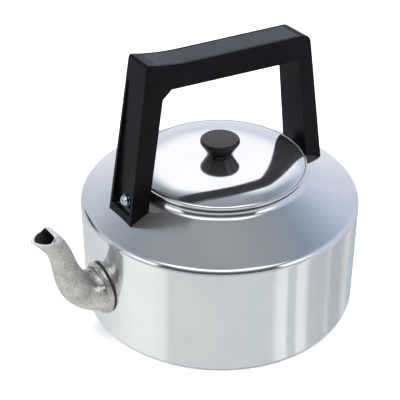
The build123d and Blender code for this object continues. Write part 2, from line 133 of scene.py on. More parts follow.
# ---- mesh helpers ---------------------------------------------------------------
def make_piece(name, points, faces, sharp=30.0):
    mesh = bpy.data.meshes.new(name)
    mesh.from_pydata([(x * MM, y * MM, z * MM) for x, y, z in points], [], faces)
    work = bmesh.new()
    work.from_mesh(mesh)
    bmesh.ops.recalc_face_normals(work, faces=work.faces)
    work.to_mesh(mesh)
    work.free()
    piece = bpy.data.objects.new(name, mesh)
    bpy.context.scene.collection.objects.link(piece)
    shade(piece, sharp)
    return piece


def shade(piece, sharp=30.0):
    mesh = piece.data
    mesh.polygons.foreach_set("use_smooth", [True] * len(mesh.polygons))
    mesh.set_sharp_from_angle(angle=math.radians(sharp))


def strip_faces(rows, columns, loop_rows=False):
    """Quads between rows of points, each row a closed ring of columns points."""
    faces = []
    for row in range(rows if loop_rows else rows - 1):
        here, there = row * columns, (row + 1) % rows * columns
        for column in range(columns):
            after = (column + 1) % columns
            faces.append((here + column, here + after, there + after, there + column))
    return faces


def lathe(name, outline, segments=240, sharp=30.0):
    """Turn an outline of (radius, height) round Z. Ends on the axis become poles."""
    open_ended = outline[0][0] < 1e-6 and outline[-1][0] < 1e-6
    body = outline[1:-1] if open_ended else outline
    points = []
    for radius, height in body:
        for step in range(segments):
            turn = 2 * math.pi * step / segments
            points.append((radius * math.cos(turn), radius * math.sin(turn), height))
    faces = strip_faces(len(body), segments, loop_rows=not open_ended)
    if open_ended:
        first, last = len(points), len(points) + 1
        points += [(0, 0, outline[0][1]), (0, 0, outline[-1][1])]
        end = (len(body) - 1) * segments
        for step in range(segments):
            after = (step + 1) % segments
            faces.append((first, after, step))
            faces.append((last, end + step, end + after))
    return make_piece(name, points, faces, sharp)


def rounded(corners, steps=10, support=0.5):
    """Outline with rounded corners: each corner is (x, z) or (x, z, radius)."""
    path = []
    for index, corner in enumerate(corners):
        here = Vector(corner[:2])
        if len(corner) == 2:
            path.append(tuple(here))
            continue
        back = (Vector(corners[index - 1][:2]) - here).normalized()
        ahead = (Vector(corners[(index + 1) % len(corners)][:2]) - here).normalized()
        half = back.angle(ahead) / 2
        radius = corner[2]
        centre = here + (back + ahead).normalized() * (radius / math.sin(half))
        first = here + back * (radius / math.tan(half)) - centre
        last = here + ahead * (radius / math.tan(half)) - centre
        sweep = first.angle(last)
        path.append(tuple(centre + first + back * support))
        for step in range(steps + 1):
            share = step / steps
            spoke = first * math.sin((1 - share) * sweep) + last * math.sin(share * sweep)
            path.append(tuple(centre + spoke / math.sin(sweep)))
        path.append(tuple(centre + last + ahead * support))
    return path


def half_width(height, inset=0.0):
    rate = (HALF_TOP - HALF_FOOT) / (TAPER[1] - TAPER[0])
    return HALF_FOOT + rate * (height - TAPER[0]) - inset


def slab(name, outline, inset=0.0, sharp=30.0):
    """Solid between the handle's tapering sides with the given side outline."""
    points = []
    for side in (-1, 1):
        points += [(x, side * half_width(z, inset), z) for x, z in outline]
    count = len(outline)
    faces = [tuple(range(count)), tuple(range(2 * count - 1, count - 1, -1))]
    for step in range(count):
        after = (step + 1) % count
        faces.append((after, step, count + step, count + after))
    return make_piece(name, points, faces, sharp)


def apply_modifiers(piece):
    graph = bpy.context.evaluated_depsgraph_get()
    mesh = bpy.data.meshes.new_from_object(piece.evaluated_get(graph))
    piece.modifiers.clear()
    piece.data = mesh


def weld(piece, gap=0.01):
    """Close up the slivers that a cut or a bevel leaves behind."""
    work = bmesh.new()
    work.from_mesh(piece.data)
    bmesh.ops.remove_doubles(work, verts=work.verts, dist=gap * MM)
    bmesh.ops.dissolve_degenerate(work, edges=work.edges, dist=gap * MM)
    work.to_mesh(piece.data)
    work.free()


def cut(piece, *cutters):
    for cutter in cutters:
        modifier = piece.modifiers.new("cut", "BOOLEAN")
        modifier.object = cutter
        modifier.operation = "DIFFERENCE"
        modifier.solver = "EXACT"
    apply_modifiers(piece)
    weld(piece)
    for cutter in cutters:
        bpy.data.objects.remove(cutter)


def soften(piece, width, segments=3, angle=28.0):
    """Round off the edges of a moulded or turned piece."""
    bevel = piece.modifiers.new("soften", "BEVEL")
    bevel.width = width * MM
    bevel.segments = segments
    bevel.limit_method = "ANGLE"
    bevel.angle_limit = math.radians(angle)
    bevel.use_clamp_overlap = True
    apply_modifiers(piece)
    weld(piece)
    normals = piece.modifiers.new("normals", "WEIGHTED_NORMAL")
    normals.keep_sharp = False
    normals.weight = 100
    apply_modifiers(piece)


# ---- body -----------------------------------------------------------------------
def shoulder_slope():
    return math.atan2(SHOULDER_INNER[1] - CORNER_HEIGHT, BODY_RADIUS - SHOULDER_INNER[0])


def shoulder_height(radius, lift=0.0):
    slope = shoulder_slope()
    return CORNER_HEIGHT + (BODY_RADIUS - radius) * math.tan(slope) + lift / math.cos(slope)


def lip_arc(centre, radius, start, end, steps=10):
    """Arc from one angle to another, in degrees from +X towards +Z."""
    path = []
    for step in range(steps + 1):
        turn = math.radians(start + (end - start) * step / steps)
        path.append((centre[0] + radius * math.cos(turn), centre[1] + radius * math.sin(turn)))
    return path


def build_body():
    inner = BODY_RADIUS - WALL
    lip = (NECK_RADIUS - WALL / 2, NECK_TOP - WALL / 2)
    outside = rounded([
        (0, 0), (BODY_RADIUS, 0, BASE_CORNER), (BODY_RADIUS, CORNER_HEIGHT, CORNER_FILLET),
        (NECK_RADIUS, shoulder_height(NECK_RADIUS), COVE), (NECK_RADIUS, lip[1])],
        steps=16, support=0.02)
    inside = rounded([
        (NECK_RADIUS - WALL, lip[1]),
        (NECK_RADIUS - WALL, shoulder_height(NECK_RADIUS - WALL, -WALL), COVE + WALL),
        (inner, shoulder_height(inner, -WALL), CORNER_FILLET - WALL),
        (inner, WALL, BASE_CORNER - WALL), (0, WALL)])
    outline = outside + lip_arc(lip, WALL / 2, 5, 175) + inside[1:]
    body = lathe("kettle_shell", outline, TURNED)
    room = SPOUT_SPIGOT + SPOUT_HOLE_ROOM
    hole = lathe("spout_hole", [(0, -8), (room, -8), (room, 8), (0, 8)], 96)
    hole.data.transform(Matrix.Rotation(math.pi / 2, 4, "Y"))
    hole.data.transform(Matrix.Translation((-BODY_RADIUS * MM, 0, ROOT_HEIGHT * MM)))
    cut(body, hole)
    shade(body)
    return body


# ---- lid ------------------------------------------------------------------------
def dome_height(radius):
    share = min(radius / LID_DOME_RADIUS, 1.0)
    return LID_RIM_TOP + (LID_CROWN - LID_RIM_TOP) * (1 - share ** LID_DOME_POWER)


def spaced(first, last, steps):
    return [first + (last - first) * step / steps for step in range(steps + 1)]


def build_lid():
    steps = 44
    bead = (LID_RADIUS - LID_BEAD, LID_RIM_TOP - LID_BEAD)
    crease = LID_DOME_RADIUS - 0.1
    top = [(r, dome_height(r)) for r in spaced(KNOB_BORE, crease, steps)]
    groove = [(crease + 0.12, dome_height(crease) - 0.25), (crease + 0.24, dome_height(crease) - 0.3)]
    under_edge = LID_DOME_RADIUS - 0.8
    under = [(r, dome_height(r) - LID_SHEET) for r in spaced(under_edge, KNOB_BORE, steps)]
    rim = lip_arc(bead, LID_BEAD, 135, -110, 16) + [(bead[0] - LID_BEAD, bead[1] - 0.6)]
    return lathe("lid_dome", top + groove + rim + under, TURNED, sharp=40)


def build_skirt():
    inner = SKIRT_RADIUS - SKIRT_SHEET
    flange = SKIRT_RADIUS - SKIRT_FLANGE
    top = dome_height(flange) - LID_SHEET - FIT_GAP
    edge = dome_height(SKIRT_RADIUS - 0.4) - LID_SHEET - 0.45
    outline = rounded([
        (SKIRT_RADIUS, SKIRT_BOTTOM, 0.3), (SKIRT_RADIUS, edge, 0.4), (flange, top, 0.2),
        (flange, top - SKIRT_SHEET, 0.2), (inner, edge - SKIRT_SHEET, 0.4),
        (inner, SKIRT_BOTTOM, 0.3)],
        steps=4, support=0.05)
    return lathe("lid_skirt_ring", outline, 240)


def build_knob():
    foot = LID_CROWN + FIT_GAP
    edge_low, edge_top = (KNOB_TOP - below for below in KNOB_EDGE)
    outline = rounded([
        (0, foot + KNOB_BORE_DEPTH), (KNOB_BORE, foot + KNOB_BORE_DEPTH), (KNOB_BORE, foot),
        (KNOB_FOOT, foot, 0.5), (KNOB_FOOT - 0.2, foot + KNOB_WAIST_UP, 3.0),
        (KNOB_RADIUS, edge_low, 1.2), (KNOB_RADIUS, edge_top, 1.6), (0, KNOB_TOP)],
        steps=10, support=0.15)
    return lathe("knob_moulding", outline, 160)


# ---- spout ----------------------------------------------------------------------
def bezier(values, t):
    a, b, c, d = values
    return a * (1 - t) ** 3 + 3 * b * (1 - t) ** 2 * t + 3 * c * (1 - t) * t ** 2 + d * t ** 3


def ring_angles():
    return [2 * math.pi * step / SPOUT_POINTS for step in range(SPOUT_POINTS)]


def wrapped_oval(across, up, wall_radius):
    """Oval on the body's wall, raised to a radius."""
    ring = []
    for turn in ring_angles():
        y = across * math.cos(turn)
        z = ROOT_HEIGHT + up * math.sin(turn)
        ring.append(Vector((-math.sqrt(wall_radius ** 2 - y ** 2), y, z)))
    return ring


def flat_circle(x, radius):
    return [Vector((x, radius * math.cos(t), ROOT_HEIGHT + radius * math.sin(t))) for t in ring_angles()]


def tube_circle(t, radius):
    xs = [pole[0] for pole in SPOUT_POLES]
    zs = [pole[1] for pole in SPOUT_POLES]
    x, z = bezier(xs, t), bezier(zs, t)
    along_tube = Vector((bezier(xs, t + 0.001) - x, 0, bezier(zs, t + 0.001) - z)).normalized()
    across = Vector((along_tube.z, 0, -along_tube.x))
    return [Vector((x, radius * math.cos(turn), z)) + across * radius * math.sin(turn)
            for turn in ring_angles()]


def bore_circle(t):
    return tube_circle(t, min(SPOUT_BORE, bezier(SPOUT_RADII, t) - SPOUT_WALL))


def super_point(turn, width, rear, front, power_rear, power_front):
    """Point of an outline that is square at the rear and pointed at the front."""
    c, s = math.cos(turn), math.sin(turn)
    power = power_rear if s > 0 else power_front
    depth = rear if s > 0 else front
    size = (abs(c) ** power + abs(s) ** power) ** (-1 / power)
    return width * c * size, depth * s * size


def mouth_ring(width, rear, front, power_rear, power_front, sink=0.0, hood=0.0):
    """Ring round the mouth. It climbs to the rear corners; the hood falls away behind them."""
    ring = []
    for turn in ring_angles():
        y, back = super_point(turn, width, rear, front, power_rear, power_front)
        climb = min(1.0, 1.35 * max(0.0, math.sin(turn))) ** 1.5
        z = MOUTH_CENTRE[1] + (HORN_RISE - hood) * climb - sink
        ring.append(Vector((MOUTH_CENTRE[0] + back, y, z)))
    return ring


def mix(first, second, share):
    return [a.lerp(b, share) for a, b in zip(first, second)]


def outer_rings():
    """From the threaded end inside the body, over the flange, to just below the mouth."""
    end = SPOUT_INNER_END
    rings = [flat_circle(end, SPOUT_BORE), flat_circle(end, SPOUT_BORE + 0.3),
             flat_circle(end, SPOUT_SPIGOT - 0.3), flat_circle(end - 0.3, SPOUT_SPIGOT),
             flat_circle(-108.0, SPOUT_SPIGOT), wrapped_oval(SPOUT_SPIGOT, SPOUT_SPIGOT, FLANGE_SEAT)]
    width, height = FLANGE
    rings += [wrapped_oval(width - across, height - up, FLANGE_SEAT + out)
              for across, up, out in FLANGE_EDGE]
    for step in range(3, 27):
        t = SPOUT_SPLIT * step / 26
        rings.append(tube_circle(t, bezier(SPOUT_RADII, t)))
    return rings


def inset_mouth(outline, width, rear, front, sink, hood):
    return mouth_ring(outline[0] - width, outline[1] - rear, outline[2] - front, *outline[3:], sink, hood)


def build_spout():
    steps = 14
    rings = outer_rings()
    outer_edge = mouth_ring(*MOUTH_OUTER, sink=0.35, hood=3.0)
    for step in range(1, steps):
        share = step / steps
        t = SPOUT_SPLIT + (1 - SPOUT_SPLIT) * share
        rings.append(mix(tube_circle(t, bezier(SPOUT_RADII, t)), outer_edge, share ** 2))
    rings.append(outer_edge)
    rings += [inset_mouth(MOUTH_OUTER, *land) for land in MOUTH_LAND]
    rings += [inset_mouth(MOUTH_INNER, -0.2, -0.2, -0.2, 0.0, 0.0),
              inset_mouth(MOUTH_INNER, 0.0, 0.0, 0.0, 0.2, 0.0)]
    inner_edge = inset_mouth(MOUTH_INNER, 0.1, 0.1, 0.2, 1.2, 0.0)
    bore_start = len(rings) - 1
    for step in range(steps):
        share = 1 - step / steps
        t = SPOUT_SPLIT + (1 - SPOUT_SPLIT) * share
        rings.append(mix(bore_circle(t), inner_edge, share ** 2))
    rings += [bore_circle(SPOUT_SPLIT * step / 26) for step in range(26, -1, -1)]
    points = [tuple(point) for ring in rings for point in ring]
    faces = strip_faces(len(rings), SPOUT_POINTS, loop_rows=True)
    return make_piece("spout_casting", points, faces, sharp=50), bore_start


# ---- handle ---------------------------------------------------------------------
def along(line, height):
    (x0, z0), (x1, z1) = line
    return x0 + (x1 - x0) * (height - z0) / (z1 - z0)


def grip_height(x):
    """Top of the crossbar: straight, with a hollow sweep up to the raised front end."""
    slope = (REAR_OUTER[1][1] - GRIP_DIP[1]) / (REAR_OUTER[1][0] - GRIP_DIP[0])
    straight = GRIP_DIP[1] + slope * (x - GRIP_DIP[0])
    run = GRIP_DIP[0] - GRIP_START[0]
    rise = GRIP_START[1] - (GRIP_DIP[1] - slope * run)
    before = max(0.0, GRIP_DIP[0] - x) / run
    return straight + rise * before ** 2


def sweep_points(drop, start=GRIP_START[0], steps=12):
    run = GRIP_DIP[0] - start
    return [(start + run * i / steps, grip_height(start + run * i / steps) - drop)
            for i in range(steps + 1)]


def frame_outline():
    corner = Vector(FRONT_INNER[1])
    down = (Vector((along(FRONT_INNER, 150.0), 150.0)) - corner).normalized()
    ahead = (Vector(REAR_INNER[1]) - corner).normalized()
    corners = [
        (*REAR_OUTER[1], REAR_CORNER), (along(REAR_OUTER, LEG_LOW), LEG_LOW),
        (along(REAR_INNER, LEG_LOW), LEG_LOW),
        (*REAR_INNER[1], 2.5), tuple(corner + ahead * CHAMFER), tuple(corner + down * CHAMFER),
        (along(FRONT_INNER, LEG_LOW), LEG_LOW), (along(FRONT_OUTER, LEG_LOW), LEG_LOW),
        (*FRONT_OUTER[1], 2.2)]
    return sweep_points(0) + rounded([GRIP_DIP] + corners + [GRIP_START], support=0.01)[1:-1]


def foot_cutter():
    far, near = 125.0, 40.0
    return lathe("foot_cutter", [
        (0, 40), (far, 40), (far, shoulder_height(far, 0.2)), (near, shoulder_height(near, 0.2)),
        (0, shoulder_height(near, 0.2))], 360)


def outer_line(side):
    return FRONT_OUTER if side < 0 else REAR_OUTER


def leg_matrix(side, height, depth):
    """Place on a leg's outer face: local Z points out of the face, X up the leg."""
    line = outer_line(side)
    (x0, z0), (x1, z1) = line
    tilt = math.atan2(abs(x1 - x0), z1 - z0)
    out = Vector((side * math.cos(tilt), 0, math.sin(tilt)))
    up = Vector((-side * math.sin(tilt), 0, math.cos(tilt)))
    origin = Vector((along(line, height), 0, height)) - out * depth
    matrix = Matrix((up, out.cross(up), out)).transposed().to_4x4()
    matrix.translation = origin * MM
    return matrix


def channel_cutter(side):
    """Hollow in a leg's outer face: fades out at the top, deepest at the screw."""
    line = outer_line(side)
    top = CHANNEL_TOP[side]
    bottom = SCREW_HEIGHT - 7.0
    seat = leg_matrix(side, SCREW_HEIGHT, SEAT_DEPTH).translation / MM
    out = side * 10.0
    outline = [
        (along(line, top) + out, top), (along(line, top) - side * 0.8, top),
        (seat.x, seat.z + 8), (seat.x + side * 0.6, bottom), (along(line, bottom) + out, bottom)]
    return slab("channel_cutter", outline, CHANNEL_SIDE)


def box(name, size, place):
    (x, y, z), (wide, deep, high) = place, size
    corners = [(x + sx * wide / 2, y + sy * deep / 2, z + sz * high / 2)
               for sz in (-1, 1) for sx, sy in ((-1, -1), (1, -1), (1, 1), (-1, 1))]
    return make_piece(name, corners, BOX_FACES)


def pocket_cutters(side):
    """Room inside a foot for the bracket's lug with its nut, and for its riveted plate."""
    depth, thick = LUG_POCKET
    up = LUG_TOP - SCREW_HEIGHT + 0.6
    slot = box("slot", (up + 30, 10.6, thick), ((up - 30) / 2, 0, 0))
    slot.data.transform(leg_matrix(side, SCREW_HEIGHT, depth + thick / 2))
    edge = along(outer_line(side), PLATE_LEVEL)
    outer, inner = edge - side * 1.8, edge - side * (depth + thick + 0.4)
    outline = [(outer, shoulder_height(abs(outer), -2)), (outer, shoulder_height(abs(outer), 3.9)),
               (inner, shoulder_height(abs(inner), 3.9)), (inner, shoulder_height(abs(inner), -2))]
    room = slab("plate_room", outline, half_width(PLATE_LEVEL) - PLATE_HALF_WIDTH)
    return [slot, room]


def cover_outline(depth, start, end, above=0.0):
    top = [(x, z + above) for x, z in sweep_points(0, start)] + [(end, grip_height(end) + above)]
    bottom = [(end, grip_height(end) - depth)] + sweep_points(depth, start)[::-1]
    return top + bottom


def build_frame():
    handle = slab("handle_moulding", frame_outline())
    soften(handle, 1.2, segments=4)
    recess = slab("recess", cover_outline(
        GRIP_COVER, GRIP_START[0] - COVER_GAP, GRIP_END + COVER_GAP, 9.0), GRIP_SIDE - COVER_GAP)
    channel = slab("channel", cover_outline(
        GRIP_COVER + 8.0, GRIP_START[0] + 4.0, GRIP_END - 4.0, 9.0), GRIP_SIDE + 2.0)
    cutters = [foot_cutter(), recess, channel, channel_cutter(-1), channel_cutter(1)]
    for side in (-1, 1):
        cutters += pocket_cutters(side)
        screw_hole = lathe("screw_hole", [(0, -3), (2.6, -3), (2.6, 1), (0, 1)], 48)
        screw_hole.data.transform(leg_matrix(side, SCREW_HEIGHT, SEAT_DEPTH))
        cutters.append(screw_hole)
    cut(handle, *cutters)
    soften(handle, 0.35, segments=2)
    return handle


def build_cover():
    cover = slab("grip_inlay", cover_outline(GRIP_COVER, GRIP_START[0], GRIP_END), GRIP_SIDE)
    soften(cover, 0.7)
    return cover


# ---- screws ---------------------------------------------------------------------
def cross_cutter(depth):
    """Two tapering blades of a cross recess, points down, centred on the origin."""
    blades = []
    for turn in (math.pi / 4, 3 * math.pi / 4):
        top, low = (2.5, 0.62), (1.3, 0.4)
        points = [(sx * a, sy * b, z) for (a, b), z in ((low, -depth), (top, 1.0))
                  for sx, sy in ((-1, -1), (1, -1), (1, 1), (-1, 1))]
        blade = make_piece("blade", points, BOX_FACES)
        blade.data.transform(Matrix.Rotation(turn, 4, "Z"))
        blades.append(blade)
    return blades


def build_screw(name, side):
    outline = [
        (0, -SCREW_LENGTH), (SCREW_RADIUS - 0.4, -SCREW_LENGTH), (SCREW_RADIUS, 0.4 - SCREW_LENGTH),
        (SCREW_RADIUS, 0)]
    outline += rounded([
        (HEAD_RADIUS - 0.1, 0), (HEAD_RADIUS, 0.1), (HEAD_RADIUS, 1.7, 0.9), (2.6, HEAD_HEIGHT, 2.0),
        (0, HEAD_HEIGHT)], steps=6, support=0.02)
    screw = lathe(name, outline, 64)
    blades = cross_cutter(RECESS_DEPTH)
    for blade in blades:
        blade.data.transform(Matrix.Translation((0, 0, HEAD_HEIGHT * MM)))
    cut(screw, *blades)
    shade(screw, 35)
    screw.data.transform(leg_matrix(side, SCREW_HEIGHT, HEAD_DEPTH))
    return screw


# ---- materials ------------------------------------------------------------------
class Nodes:
    """Short way to add nodes to a tree."""

    def __init__(self, tree):
        self.tree = tree

    def add(self, kind, inputs=None, **settings):
        node = self.tree.nodes.new("ShaderNode" + kind)
        for key, value in settings.items():
            setattr(node, key, value)
        for key, value in (inputs or {}).items():
            if isinstance(value, bpy.types.NodeSocket):
                self.tree.links.new(value, node.inputs[key])
            else:
                node.inputs[key].default_value = value
        return node

    def math(self, operation, *values):
        inputs = dict(enumerate(values))
        return self.add("Math", inputs, operation=operation).outputs[0]

    def span(self, value, low, high, from_low=0.3, from_high=0.7):
        """Spread a value over a range."""
        inputs = {
            "Value": value, "From Min": from_low, "From Max": from_high, "To Min": low, "To Max": high}
        return self.add("MapRange", inputs).outputs["Result"]

    def ramp(self, value, *stops):
        node = self.add("ValToRGB", {"Fac": value})
        elements = node.color_ramp.elements
        while len(elements) < len(stops):
            elements.new(0.5)
        for element, (place, colour) in zip(elements, stops):
            element.position = place
            element.color = (*colour, 1)
        return node.outputs["Color"]

    def blend(self, share, first, second):
        inputs = {0: share, 6: first, 7: second}
        return self.add("Mix", inputs, data_type="RGBA").outputs[2]


class Look(Nodes):
    """One material's nodes round its Principled shader."""

    def __init__(self, name, **values):
        self.material = bpy.data.materials.new(name)
        self.material.use_nodes = True
        super().__init__(self.material.node_tree)
        self.shader = self.tree.nodes["Principled BSDF"]
        for key, value in values.items():
            self.shader.inputs[key.replace("_", " ")].default_value = value
        self.where = self.add("TexCoord").outputs["Object"]

    def noise(self, scale, detail=4.0, roughness=0.5, vector=None):
        inputs = {"Vector": vector or self.where, "Scale": scale, "Detail": detail, "Roughness": roughness}
        return self.add("TexNoise", inputs).outputs["Fac"]

    def rings(self):
        """Coordinates that are the same all round the axis: radius and height."""
        split = self.add("SeparateXYZ", {0: self.where})
        x, y, z = split.outputs
        squares = self.math("ADD", self.math("MULTIPLY", x, x), self.math("MULTIPLY", y, y))
        return self.math("SQRT", squares), z

    def bump(self, height, strength, distance, normal=None):
        inputs = {"Height": height, "Strength": strength, "Distance": distance * MM}
        if normal:
            inputs["Normal"] = normal
        return self.add("Bump", inputs).outputs["Normal"]

    def drive(self, **sockets):
        for key, value in sockets.items():
            self.tree.links.new(value, self.shader.inputs[key.replace("_", " ")])
        return self.material


def polished(name, metallic, low, high, anisotropy, spin, groove):
    """Spun and buffed sheet: clear reflections, faint turning lines, soft smudges.

    The groove is a ring of painted shade, the shadow in the gap or crease by the lid's rim: which measure,
    from, to, strength."""
    look = Look(name, Metallic=metallic, Anisotropic=anisotropy, Anisotropic_Rotation=0.25)
    radius, height = look.rings()
    measure, start, end, strength = groove
    place = radius if measure == "radius" else height
    inside = look.span(place, 0.0, strength, start * MM, (start + 0.2) * MM)
    outside = look.span(place, 1.0, 0.0, (end - 0.2) * MM, end * MM)
    # painted shade: mask of the ring that is painted near-black as the shadow by the lid's rim
    painted_shade = look.math("MULTIPLY", inside, outside)
    ring_place = look.add("CombineXYZ", {0: radius, 1: height, 2: 0.0}).outputs[0]
    lines = look.noise(700.0, 3.0, 0.6, ring_place)
    smudge = look.noise(26.0, 5.0, 0.55)
    haze = look.noise(9.0, 2.0, 0.5)
    rough = look.math("ADD", look.span(smudge, low, high), look.span(haze, 0.0, 0.03))
    colour = look.ramp(smudge, (0.3, (0.80, 0.815, 0.84)), (0.7, (0.86, 0.87, 0.89)))
    # painted shade: the ring is blended to near-black
    colour = look.blend(painted_shade, colour, (0.05, 0.05, 0.055, 1))
    tangent = look.add("Tangent", direction_type="RADIAL", axis="Z").outputs[0]
    normal = look.bump(lines, spin, 0.02, look.bump(haze, 0.08, 1.0))
    return look.drive(Base_Color=colour, Roughness=rough, Normal=normal, Tangent=tangent)


def cast_aluminium():
    """Tumbled sand casting: mottled grain, buffed beside the flange and ground at the mouth."""
    look = Look("cast_aluminium", Metallic=0.8)
    split = look.add("SeparateXYZ", {0: look.where})
    near_wall = look.span(split.outputs[0], 0.0, 1.0, -0.127, -0.120)
    upper = look.span(split.outputs[2], 0.0, 1.0, 0.038, 0.052)
    rim = look.span(split.outputs[2], 0.0, 0.9, 0.1028, 0.1046)
    buffed = look.math("MAXIMUM", look.math("MULTIPLY", near_wall, upper), rim)
    grain = look.noise(1000.0, 6.0, 0.72)
    pits = look.noise(2300.0, 3.0, 0.6)
    patch = look.noise(120.0, 4.0, 0.5)
    mottle = look.math("ADD", grain, look.math("MULTIPLY", look.math("SUBTRACT", patch, 0.5), 0.35))
    colour = look.ramp(mottle, (0.34, (0.29, 0.285, 0.265)), (0.5, (0.51, 0.505, 0.48)),
                       (0.66, (0.76, 0.755, 0.725)))
    colour = look.blend(rim, colour, (0.66, 0.665, 0.66, 1))
    rough = look.math("SUBTRACT", look.span(patch, 0.38, 0.50), look.math("MULTIPLY", buffed, 0.29))
    relief = look.math("ADD", grain, look.math("MULTIPLY", pits, 0.5))
    strength = look.math("SUBTRACT", 0.55, look.math("MULTIPLY", buffed, 0.45))
    bump = look.add("Bump", {"Height": relief, "Strength": strength, "Distance": 0.25 * MM})
    return look.drive(Base_Color=colour, Roughness=rough, Normal=bump.outputs["Normal"])


def moulded(name, dark, light, rough_low, rough_high, texture, specular=0.5):
    """Black phenolic moulding with a fine skin; its edges are painted lighter, partly as wear and partly
    as painted highlight.
    """
    look = Look(name, Specular_IOR_Level=specular)
    skin = look.noise(1900.0, 3.0, 0.6)
    handling = look.noise(45.0, 4.0, 0.55)
    edge = look.span(look.add("NewGeometry").outputs["Pointiness"], 0.0, 1.0, 0.515, 0.60)
    # wear and painted highlight: sharp edges, found by pointiness, are painted lighter
    edge_wear_and_highlight = look.math("MULTIPLY", edge, look.span(handling, 0.3, 1.0))
    tone_with_edge_highlight = look.math("ADD", look.span(handling, 0.0, 0.5), look.math("MULTIPLY", edge_wear_and_highlight, 0.5))
    colour = look.ramp(tone_with_edge_highlight, (0.0, dark), (1.0, light))
    rough = look.span(handling, rough_low, rough_high)
    normal = look.bump(skin, texture, 0.05)
    return look.drive(Base_Color=colour, Roughness=rough, Normal=normal)


def plated(name, colour_low, colour_high, low, high):
    """Small metal hardware with uneven plating or a plain machined skin."""
    look = Look(name, Metallic=1.0)
    patch = look.noise(260.0, 3.0, 0.6)
    colour = look.ramp(patch, (0.35, colour_low), (0.65, colour_high))
    return look.drive(Base_Color=colour, Roughness=look.span(patch, low, high),
                      Normal=look.bump(look.noise(2400.0, 2.0), 0.15, 0.03))


def rubber():
    look = Look("seal_rubber", Specular_IOR_Level=0.35)
    speck = look.noise(900.0, 3.0)
    colour = look.ramp(speck, (0.3, (0.012, 0.012, 0.013)), (0.7, (0.03, 0.03, 0.031)))
    return look.drive(Base_Color=colour, Roughness=look.span(speck, 0.6, 0.8),
                      Normal=look.bump(speck, 0.2, 0.05))


def bore_painted_shade():
    """Inside of the spout, coloured near-black as painted shade in the tube."""
    look = Look("spout_bore", Metallic=0.3, Specular_IOR_Level=0.2)
    blotch = look.noise(160.0, 5.0, 0.6)
    # painted shade: near-black blotchy colour for the tube's inside
    colour = look.ramp(blotch, (0.3, (0.018, 0.018, 0.020)), (0.7, (0.055, 0.053, 0.053)))
    return look.drive(Base_Color=colour, Roughness=look.span(blotch, 0.55, 0.75),
                      Normal=look.bump(blotch, 0.3, 0.3))


def paint(piece, material):
    piece.data.materials.clear()
    piece.data.materials.append(material)


# ---- stage ----------------------------------------------------------------------
VIEW_TURN = math.radians(35.07)      # the kettle's handle points away to the right
FLOOR_REACH = 40.0                   # metres
SOFTBOX_AIM = Vector((0, 0, 0.06))
CARD_REACHES = (0, 8, 20, 40, 70, 110, 160, 210, 260)
CARD_STEPS = 360

# Bands of the card: place round the wall in degrees, right of the near side, and tone
BANDS = [
    (-180, (0.50, 0.52, 0.549)), (-100, (0.50, 0.52, 0.549)), (-75, (0.66, 0.68, 0.686)),
    (-52, (0.76, 0.775, 0.774)), (-44, (0.87, 0.88, 0.853)), (-38, (0.95, 0.97, 0.941)),
    (-30, (0.96, 0.98, 0.951)), (-22.5, (0.90, 0.92, 0.892)), (-19.5, (0.70, 0.72, 0.70)),
    (14, (0.65, 0.69, 0.686)), (22, (0.65, 0.685, 0.686)), (25, (0.88, 0.91, 0.921)),
    (28.5, (0.90, 0.93, 0.941)), (29.5, (0.62, 0.66, 0.666)), (32.5, (0.62, 0.66, 0.666)),
    (33.5, (0.86, 0.89, 0.902)), (37.5, (0.86, 0.89, 0.892)), (39.5, (0.57, 0.60, 0.617)),
    (45, (0.52, 0.55, 0.568)), (49, (0.52, 0.56, 0.578)), (51, (0.66, 0.70, 0.715)),
    (53, (0.46, 0.50, 0.519)), (60, (0.46, 0.49, 0.51)), (66, (0.69, 0.71, 0.715)),
    (73, (0.48, 0.55, 0.588)), (84, (0.42, 0.50, 0.568)), (104, (0.50, 0.55, 0.608)),
    (180, (0.50, 0.52, 0.549))]


def from_view(right, away, up):
    """A place given to the right of, behind and above the kettle as the camera sees it."""
    c, s = math.cos(VIEW_TURN), math.sin(VIEW_TURN)
    return Vector((right * c + away * s, -right * s + away * c, up))


def add_camera():
    camera = bpy.data.objects.new("camera", bpy.data.cameras.new("camera"))
    bpy.context.scene.collection.objects.link(camera)
    camera.data.sensor_width = 36.0
    camera.data.lens = 94.63
    camera.location = from_view(0, -0.7034, 0.5422)
    pitch, yaw = math.radians(33.17), -0.022
    level = math.cos(pitch)
    forward = from_view(math.sin(yaw) * level, math.cos(yaw) * level, -math.sin(pitch))
    camera.rotation_euler = forward.to_track_quat("-Z", "Y").to_euler()
    bpy.context.scene.camera = camera


def add_floor():
    """Pale paper hidden from glossy rays; in reflections, metal and plastic see the cards instead."""
    mesh = bpy.data.meshes.new("floor")
    turns = [2 * math.pi * step / 64 for step in range(64)]
    ring = [(FLOOR_REACH * math.cos(turn), FLOOR_REACH * math.sin(turn), -0.0002) for turn in turns]
    mesh.from_pydata(ring, [], [tuple(range(64))])
    floor = bpy.data.objects.new("floor", mesh)
    bpy.context.scene.collection.objects.link(floor)
    look = Look("floor_paper", Specular_IOR_Level=0.1, Roughness=0.9)
    paint(floor, look.drive(Base_Color=look.ramp(
        look.noise(3.0, 2.0), (0.3, (0.90, 0.90, 0.905)), (0.7, (0.93, 0.93, 0.93)))))
    floor.visible_glossy = False


